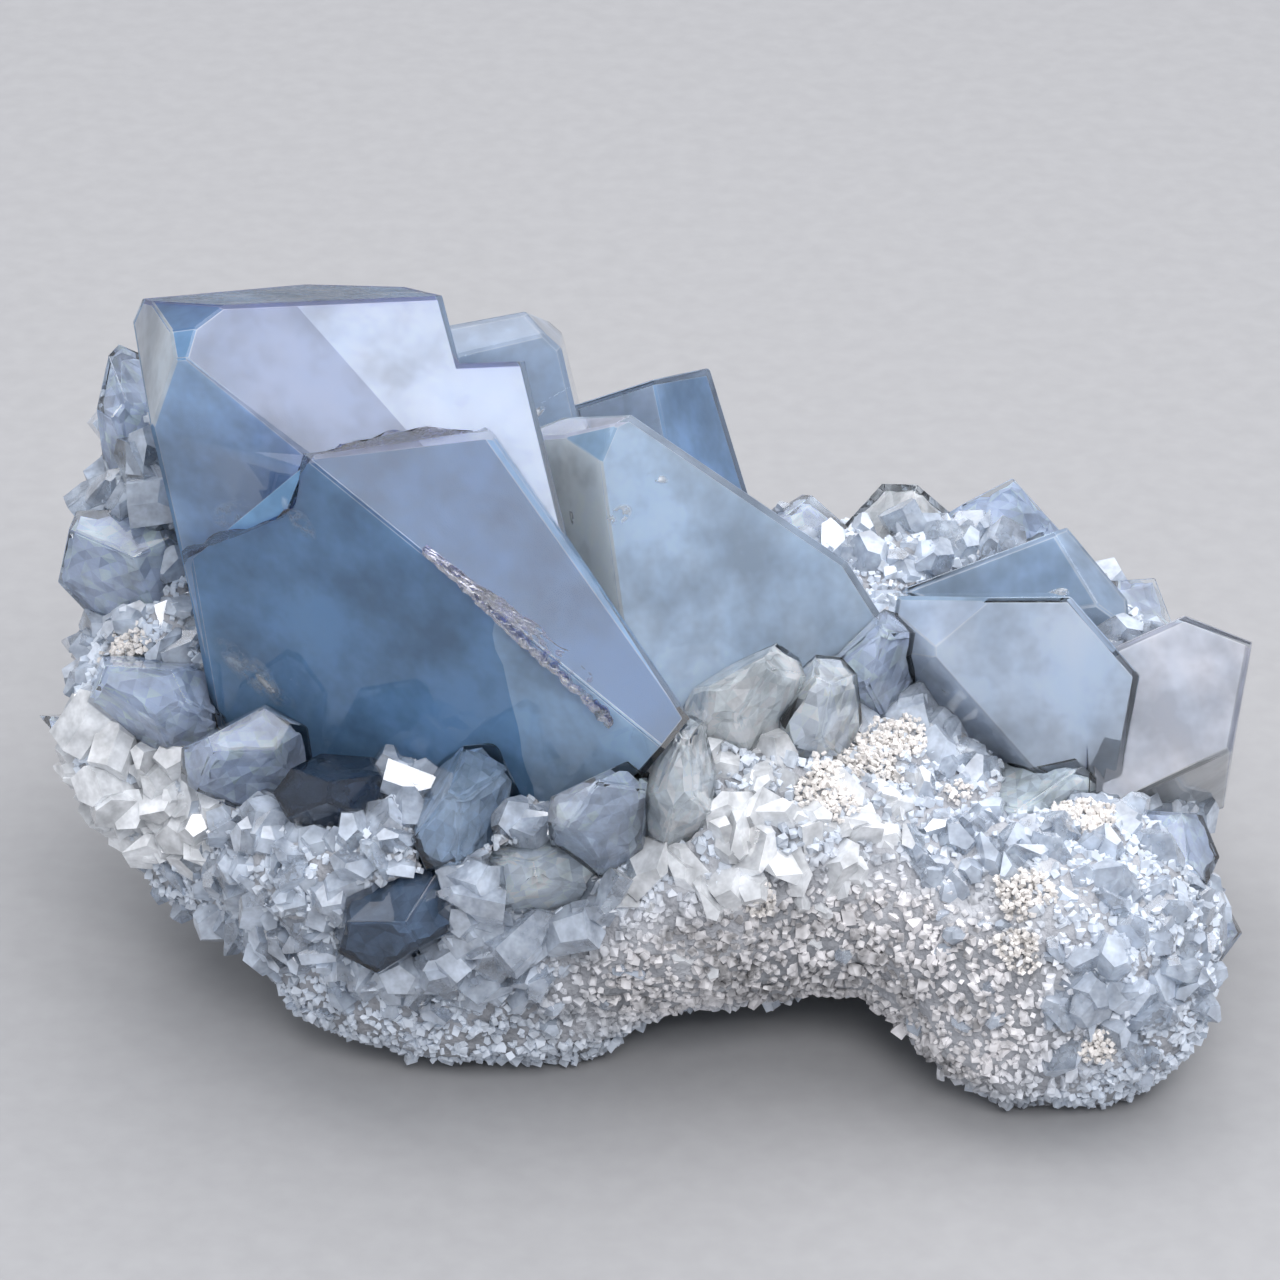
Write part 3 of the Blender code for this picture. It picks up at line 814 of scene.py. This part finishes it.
class BuildGreatCrystal(bpy.types.Operator):
    """Shape and finish the great crystal"""
    bl_idname = "celestite.build_great_crystal"
    bl_label = "Great Crystal"

    def execute(self, context):
        settings = context.scene.celestite_crystals
        core = node_mesh("great_crystal")
        self.cut_faces(core)
        # The 0.5 below is how far the haze's bevelled edges are lightened, a painted highlight.
        seal_haze("great_crystal", core, lambda face: self.pick(face, settings), settings,
                  settings.edge_width, 0.5)
        bm = node_mesh("great_crystal")
        jag_break(bm)
        for face in bm.faces:
            face.material_index = 1 if self.is_torn(face) else 0
        swell(bm, settings.seat_overlap)
        bevel_edges(bm, settings.edge_width)
        piece = place(
            "great_celestite", bm, clear_material("great celestite", (0.0, 15.0, 0.0)),
            ("great_crystal",))
        piece.data.materials.append(clear_material("great celestite, torn", torn=True))
        self.build_ledge()
        return {"FINISHED"}

    def cut_faces(self, bm):
        """Divide the tip's upper face and the body's front where their look changes."""
        def on(face, outward, reach):
            return face.normal.dot(outward) > 0.999 and (
                abs(face.calc_center_median().dot(outward) - reach * MM) < 0.1 * MM)
        upper = [f for f in bm.faces if on(f, UPPER_OUT, TIP_UPPER_REACH)]
        split_face(bm, upper, SPLIT_OUT, SPLIT_REACH)
        front = [f for f in bm.faces if on(f, FRONT_OUT, BODY_FRONT_REACH)]
        split_face(bm, front, CHIP_OUT, CHIP_REACH, 1.0)

    def is_torn(self, face):
        """The broken top and the floor of the break."""
        return face.normal.dot(TOP_OUT) > 0.99 or face.normal.dot(BREAK_OUT) > 0.99

    def pick(self, face, settings):
        """The tint of one face of the great crystal: one blue body, each face lighter or darker by
        the way it looks, as painted light, shade and reflection.
        """
        middle = face.calc_center_median() / MM
        if self.is_torn(face):
            return (0.22, 0.34, 0.50, 0.80)
        if face.normal.dot(UPPER_OUT) > 0.99:
            if middle.dot(UPPER_OUT) > TIP_UPPER_REACH + 0.4:
                return tuple(settings.upper_blue)
            right = middle.dot(SPLIT_OUT) > SPLIT_REACH
            return tuple(settings.tip_white if right else settings.tip_lilac)
        if face.normal.dot(FRONT_OUT) > 0.99:
            if middle.dot(FRONT_OUT) < TIP_FRONT_REACH + 0.4:
                return tuple(settings.tip_blue)
            if middle.dot(CHIP_OUT) > CHIP_REACH:
                return (0.53, 0.73, 0.95, 0.85)
        # Painted light and shade: the left face is whitened and the face looking up and left is
        # darkened.
        if face.normal.dot(Vector((-0.933, -0.267, 0.242))) > 0.98:
            return (0.85, 0.92, 0.97, 0.80)
        if face.normal.dot(Vector((-0.342, 0.0, 0.940))) > 0.98:
            return (0.15, 0.30, 0.54, 0.85)
        return tuple(settings.deep_blue)

    def build_ledge(self):
        """The striated ledge along the front's right edge, in steps that follow its length."""
        bm = bmesh.new()
        bmesh.ops.create_grid(bm, x_segments=70, y_segments=9, size=0.5)
        run = LEDGE_END - LEDGE_START
        across = UPPER_OUT.cross(run).normalized()
        if across.dot(FRONT_OUT) > 0:
            across.negate()
        for corner in bm.verts:
            along, side = corner.co.x + 0.5, corner.co.y + 0.5
            width = LEDGE_WIDTH * (0.2 + 0.8 * along) * min(1.0, 8.0 * (1.02 - along))
            width *= 1.0 + 0.35 * noise.noise(Vector((along * 7.0, 3.0, side)))
            rise = 0.30 * noise.noise(Vector((along * 5.0, side * 9.0, 1.7)))
            rise += 0.5 * noise.noise(Vector((along * 26.0, side * 16.0, 4.1)))
            spot = LEDGE_START + run * along + across * (side * width - 0.35)
            corner.co = (spot + UPPER_OUT * (0.38 + rise * (0.5 + along))) * MM
        bmesh.ops.solidify(bm, geom=bm.faces[:], thickness=0.4 * MM)
        bmesh.ops.recalc_face_normals(bm, faces=bm.faces[:])
        place("great_ledge", bm, clear_material("striated celestite", torn=True))


class BuildStandingCrystals(bpy.types.Operator):
    """Shape and finish the six other large crystals"""
    bl_idname = "celestite.build_standing_crystals"
    bl_label = "Standing Crystals"

    def execute(self, context):
        settings = context.scene.celestite_crystals
        for number, name in enumerate(STANDING_CRYSTALS):
            pick = pick_by_direction(STANDING_HAZES[name])
            spare = 0.6 * MM if name == "far_right_crystal" else 0.0
            core = node_mesh(name)
            swell(core, spare)
            # The 0.4 is how far the haze's bevelled edges are lightened, a painted highlight.
            seal_haze(name, core, pick, settings, settings.edge_width * 0.8, 0.4)
            material = clear_material(name.replace("_", " "), (0.0, 23.0 * number, 0.0))
            bm = node_mesh(name)
            swell(bm, settings.seat_overlap + spare)
            bevel_edges(bm, settings.edge_width * 0.8)
            place(f"{name}_celestite", bm, material, (name,))
        return {"FINISHED"}


class SealVeils(bpy.types.Operator):
    """Seal healed cracks and flashes into the large crystals"""
    bl_idname = "celestite.seal_veils"
    bl_label = "Veils and Flashes"

    def execute(self, context):
        crystals = Crystals()
        for name, rows, material, depth in (
                ("sealed_veils", VEILS, veil_material(), 0.02),
                ("sealed_flashes", FLASHES, flash_material(), 0.14)):
            bm = bmesh.new()
            for middle, along, length, width in rows:
                spot, outward = crystals.nearest(Vector(middle) * MM)
                self.add_sheet(bm, spot / MM + outward * depth, outward, along, length, width)
            if not bm.faces:
                raise RuntimeError("no sheet was made for " + name)
            place(name, bm, material)
        return {"FINISHED"}

    def add_sheet(self, bm, middle, facing, along, length, width):
        """One thin crumpled lens, dense in its middle and clear at its rim."""
        across = facing.cross(Vector(along)).normalized()
        run = across.cross(facing).normalized()
        lens = bmesh.ops.create_icosphere(bm, subdivisions=3, radius=1.0)
        layer = bm.loops.layers.float_color.get("haze") or bm.loops.layers.float_color.new("haze")
        for corner in lens["verts"]:
            x, y, z = corner.co
            spot = middle + run * (x * length / 2) + across * (y * width / 2)
            lift = noise.noise(spot / 1.5) + 0.5 * noise.noise(spot / 0.5)
            dense = max(0.0, 1.0 - (x * x + y * y) ** 0.8)
            for loop in corner.link_loops:
                loop[layer] = (1.0, 1.0, 1.0, dense)
            corner.co = (spot + facing * (lift * 0.06 + z * 0.01)) * MM


class BuildLesserCrystals(bpy.types.Operator):
    """Shape and finish the crystals that stand round the large ones"""
    bl_idname = "celestite.build_lesser_crystals"
    bl_label = "Lesser Crystals"

    def execute(self, context):
        settings = context.scene.celestite_crystals
        material = clear_material("pale celestite")
        for name in LESSER_CRYSTALS:
            own = LESSER_HAZES.get(name, ICE)
            core = node_mesh(name)
            self.crumple(core)
            seal_haze(name, core, lambda face, own=own: self.vary(face, own), settings, 0.0, 0.0)
            bm = node_mesh(name)
            swell(bm, settings.seat_overlap)
            bevel_edges(bm, settings.edge_width * 0.6)
            place(f"{name}_celestite", bm, material, (name,))
        return {"FINISHED"}

    def crumple(self, bm):
        """Break the haze body into many small cracked facets that lie at different depths."""
        bmesh.ops.triangulate(bm, faces=bm.faces[:])
        for _round in range(4):
            long_edges = [e for e in bm.edges if e.calc_length() > 1.6 * MM]
            if long_edges:
                bmesh.ops.subdivide_edges(bm, edges=long_edges, cuts=1)
                bmesh.ops.triangulate(bm, faces=bm.faces[:])
        bm.normal_update()
        moves = []
        for corner in bm.verts:
            where = corner.co / MM
            depth = 0.45 + 0.75 * noise.noise(where / 1.9) + 0.4 * noise.noise(where / 0.8)
            moves.append(corner.normal * max(0.0, depth) * MM)
        for corner, move in zip(bm.verts, moves):
            corner.co -= move

    def vary(self, face, own):
        """One facet's haze, a little lighter or darker than its crystal's."""
        tone = 1.0 + 0.35 * noise.noise(face.calc_center_median() / MM / 1.1)
        return (*(min(1.0, c * tone) for c in own[:3]), own[3])


class GrowDruse(bpy.types.Operator):
    """Grow small clear crystals over the wall"""
    bl_idname = "celestite.grow_druse"
    bl_label = "Small Crystals"

    def execute(self, context):
        settings = context.scene.celestite_wall
        crystals = Crystals()
        rng = random.Random(11)
        shapes = [
            habit_mesh(f"druse_shape_{n}", 1.0, rng.uniform(0.8, 1.1), rng.uniform(0.6, 0.9),
                       0.5, rng) for n in range(7)]
        skin = bpy.data.objects["wall_skin"].data
        places = []
        for point, normal in surface_points(skin, settings.druse_count, rng):
            where = point / MM
            if crystals.depth(point) > -0.0002 or normal.z < -0.5 or where.z < 4.0:
                continue
            size = druse_size(where, normal, rng)
            if size <= 0.0 or in_crust(where):
                continue
            if where.y > 26.0:
                size *= 0.6
            aim = normal + Vector([rng.uniform(-0.9, 0.9) for _axis in range(3)])
            turn = aim.to_track_quat("X", "Z").to_matrix() @ Matrix.Rotation(
                rng.uniform(0, math.tau), 3, "X")
            matrix = Matrix.Translation(point - normal * size * MM * 0.34) @ (
                turn * (size * MM)).to_4x4()
            places.append((rng.randrange(len(shapes)), matrix))
        bm = gather(shapes, places)
        for shape in shapes:
            bpy.data.meshes.remove(shape)
        tint(bm, druse_tint)
        place("druse_crystals", bm, druse_material("druse celestite"), ())
        return {"FINISHED"}


def druse_tint(face):
    """Whiter in the white places, icy blue elsewhere."""
    where = face.calc_center_median() / MM
    colour = DRUSE_ICE
    for middle, reach in WHITE_PLACES:
        if (where - Vector(middle)).length < reach * (1.0 + 0.4 * noise.noise(where / 4.0)):
            colour = DRUSE_WHITE
    return (*colour[:3], colour[3] + 0.45 * noise.noise(where / 1.7))


def druse_size(where, normal, rng):
    """Size in millimetres of a small crystal at a point of the wall, nought for none."""
    if normal.y < 0.0 and -8.0 < where.x < 32.0 and where.z < 19.0:
        return 0.0 if rng.random() < 0.85 else rng.uniform(1.2, 2.2)
    if where.z < 8.0:
        return 0.0 if rng.random() < 0.5 else rng.uniform(1.2, 2.5)
    return rng.uniform(1.8, 4.5)


class SprinkleSugar(bpy.types.Operator):
    """Cover the wall with fine sugary grains"""
    bl_idname = "celestite.sprinkle_sugar"
    bl_label = "Sugar Grains"

    def execute(self, context):
        settings = context.scene.celestite_wall
        crystals = Crystals()
        rng = random.Random(5)
        shapes = [grain_mesh(f"grain_shape_{n}", rng) for n in range(10)]
        skin = bpy.data.objects["wall_skin"].data
        sugar, crust = [], []
        for point, normal in surface_points(skin, settings.sugar_count, rng):
            if crystals.depth(point) > 0.0002:
                continue
            size = rng.uniform(0.32, 0.72)
            if rng.random() < 0.06:
                size *= 1.5
            sugar.append(self.lay(point, normal, size, rng, len(shapes)))
        # Crust grains are finer and lie in a thicker bed, also on what grew there.
        crust_share = settings.crust_count * 14
        for point, normal in surface_points(skin, crust_share, rng):
            if in_crust(point / MM) and crystals.depth(point) < 0.0008:
                lift = normal * rng.uniform(0.0, 0.8) * MM
                crust.append(self.lay(point + lift, normal, rng.uniform(0.2, 0.44), rng, len(shapes)))
        material = sugar_material(settings)
        share = len(sugar) // SUGAR_PIECES + 1
        for part in range(SUGAR_PIECES):
            bm = gather(shapes, sugar[part * share:(part + 1) * share])
            place(f"sugar_grains_{part + 1}", bm, material, ())
        if not crust:
            raise RuntimeError("no grain of the crust found its place on the wall")
        place("crust_grains", gather(shapes, crust), crust_material(settings), ())
        for shape in shapes:
            bpy.data.meshes.remove(shape)
        return {"FINISHED"}

    def lay(self, point, normal, size, rng, kinds):
        """One grain's shape number and place, half sunk into the wall."""
        size *= MM
        stretch = Matrix.Diagonal((rng.uniform(0.7, 1.5), 1.0, rng.uniform(0.6, 1.1), 1.0))
        turn = Euler([rng.uniform(0, math.tau) for _axis in range(3)]).to_matrix().to_4x4()
        centre = point + normal * size * rng.uniform(-0.1, 0.35)
        centre.z = max(centre.z, size)
        return rng.randrange(kinds), (
            Matrix.Translation(centre) @ turn @ stretch @ Matrix.Scale(size, 4))


def in_crust(where):
    """Whether a point, in millimetres, lies in one of the ragged crust patches."""
    ragged = 1.0 + 0.5 * noise.noise(where / 1.6)
    return any((where - Vector(middle)).length < reach * ragged
               for middle, reach in CRUST_PATCHES)


class SetStage(bpy.types.Operator):
    """Put up the floor, the lights and the camera"""
    bl_idname = "celestite.set_stage"
    bl_label = "Stage"

    def execute(self, context):
        settings = context.scene.celestite_stage
        self.lay_floor(settings)
        self.light(context, settings)
        self.aim_camera(context, settings)
        context.scene.view_settings.view_transform = "Standard"
        context.scene.cycles.max_bounces = 6
        context.scene.cycles.glossy_bounces = 3
        context.scene.cycles.transmission_bounces = 6
        context.scene.cycles.diffuse_bounces = 3
        return {"FINISHED"}

    def lay_floor(self, settings):
        bm = bmesh.new()
        bmesh.ops.create_grid(bm, x_segments=1, y_segments=1, size=4.0)
        bmesh.ops.translate(bm, vec=(0.0, 0.0, -0.0001), verts=bm.verts[:])
        mesh = bpy.data.meshes.new("floor")
        bm.to_mesh(mesh)
        bm.free()
        material, tree, shader = new_material("studio floor")
        grain = noise_node(tree, texture_place(tree), 400.0, 2.0)
        colour = ramp(tree, grain, [
            (0.3, shade(settings.floor_colour, 0.97)), (0.7, shade(settings.floor_colour, 1.03))])
        tree.links.new(colour, shader.inputs["Base Color"])
        shader.inputs["Roughness"].default_value = 0.7
        mesh.materials.append(material)
        floor = bpy.data.objects.new("floor", mesh)
        bpy.context.scene.collection.objects.link(floor)

    def light(self, context, settings):
        world = bpy.data.worlds.new("studio")
        world.use_nodes = True
        background = world.node_tree.nodes["Background"]
        background.inputs["Color"].default_value = (0.80, 0.84, 0.92, 1.0)
        background.inputs["Strength"].default_value = 0.68
        context.scene.world = world
        lamps = (
            ("overhead", (0.1, 0.15, 0.62), (1.1, 0.6), settings.overhead_power),
            ("side", (-0.62, -0.02, 0.36), (0.4, 0.4), settings.side_power),
            ("front", (0.15, -0.62, 0.72), (0.5, 0.35), settings.front_power),
        )
        for name, spot, size, power in lamps:
            lamp = bpy.data.lights.new(name, "AREA")
            lamp.shape = "RECTANGLE"
            lamp.size, lamp.size_y = size
            lamp.energy = power
            lamp.color = (1.0, 0.985, 1.0)
            item = bpy.data.objects.new(name, lamp)
            item.matrix_world = Matrix.Translation(spot) @ (
                Vector(spot) - Vector((0.0, 0.0, 0.03))).to_track_quat("Z", "Y").to_matrix().to_4x4()
            context.scene.collection.objects.link(item)

    def aim_camera(self, context, settings):
        target = Vector((-0.0009, -0.0010, 0.030))
        rise = math.radians(30.0)
        back = Vector((0.0, -math.cos(rise), math.sin(rise)))
        lens = bpy.data.cameras.new("camera")
        lens.sensor_width = 36.0
        lens.lens = 141.97
        camera = bpy.data.objects.new("camera", lens)
        camera.location = target + back * settings.camera_distance
        camera.rotation_euler = (math.radians(90.0) - rise, 0.0, 0.0)
        context.scene.collection.objects.link(camera)
        context.scene.camera = camera


class CelestitePanel(bpy.types.Panel):
    """Lists the building steps and their settings"""
    bl_idname = "VIEW3D_PT_celestite"
    bl_label = "Celestite Cluster"
    bl_space_type = "VIEW_3D"
    bl_region_type = "UI"
    bl_category = "Celestite"

    def draw(self, context):
        layout = self.layout
        for step in STEPS:
            layout.operator(step.bl_idname)
        for group in (context.scene.celestite_crystals, context.scene.celestite_wall,
                      context.scene.celestite_stage):
            box = layout.box()
            for field in group.__annotations__:
                box.prop(group, field)


STEPS = (
    BuildWall, BuildGreatCrystal, BuildStandingCrystals, SealVeils, BuildLesserCrystals,
    GrowDruse, SprinkleSugar, SetStage)
GROUPS = (CrystalSettings, WallSettings, StageSettings)


def register():
    for item in (*GROUPS, *STEPS, CelestitePanel):
        bpy.utils.register_class(item)
    bpy.types.Scene.celestite_crystals = PointerProperty(type=CrystalSettings)
    bpy.types.Scene.celestite_wall = PointerProperty(type=WallSettings)
    bpy.types.Scene.celestite_stage = PointerProperty(type=StageSettings)


def unregister():
    del bpy.types.Scene.celestite_stage
    del bpy.types.Scene.celestite_wall
    del bpy.types.Scene.celestite_crystals
    for item in (CelestitePanel, *reversed(STEPS), *reversed(GROUPS)):
        bpy.utils.unregister_class(item)


def main():
    register()
    bpy.ops.celestite.build_wall()
    bpy.ops.celestite.build_great_crystal()
    bpy.ops.celestite.build_standing_crystals()
    bpy.ops.celestite.seal_veils()
    bpy.ops.celestite.build_lesser_crystals()
    bpy.ops.celestite.grow_druse()
    bpy.ops.celestite.sprinkle_sugar()
    bpy.ops.celestite.set_stage()


if __name__ == "__main__":
    main()
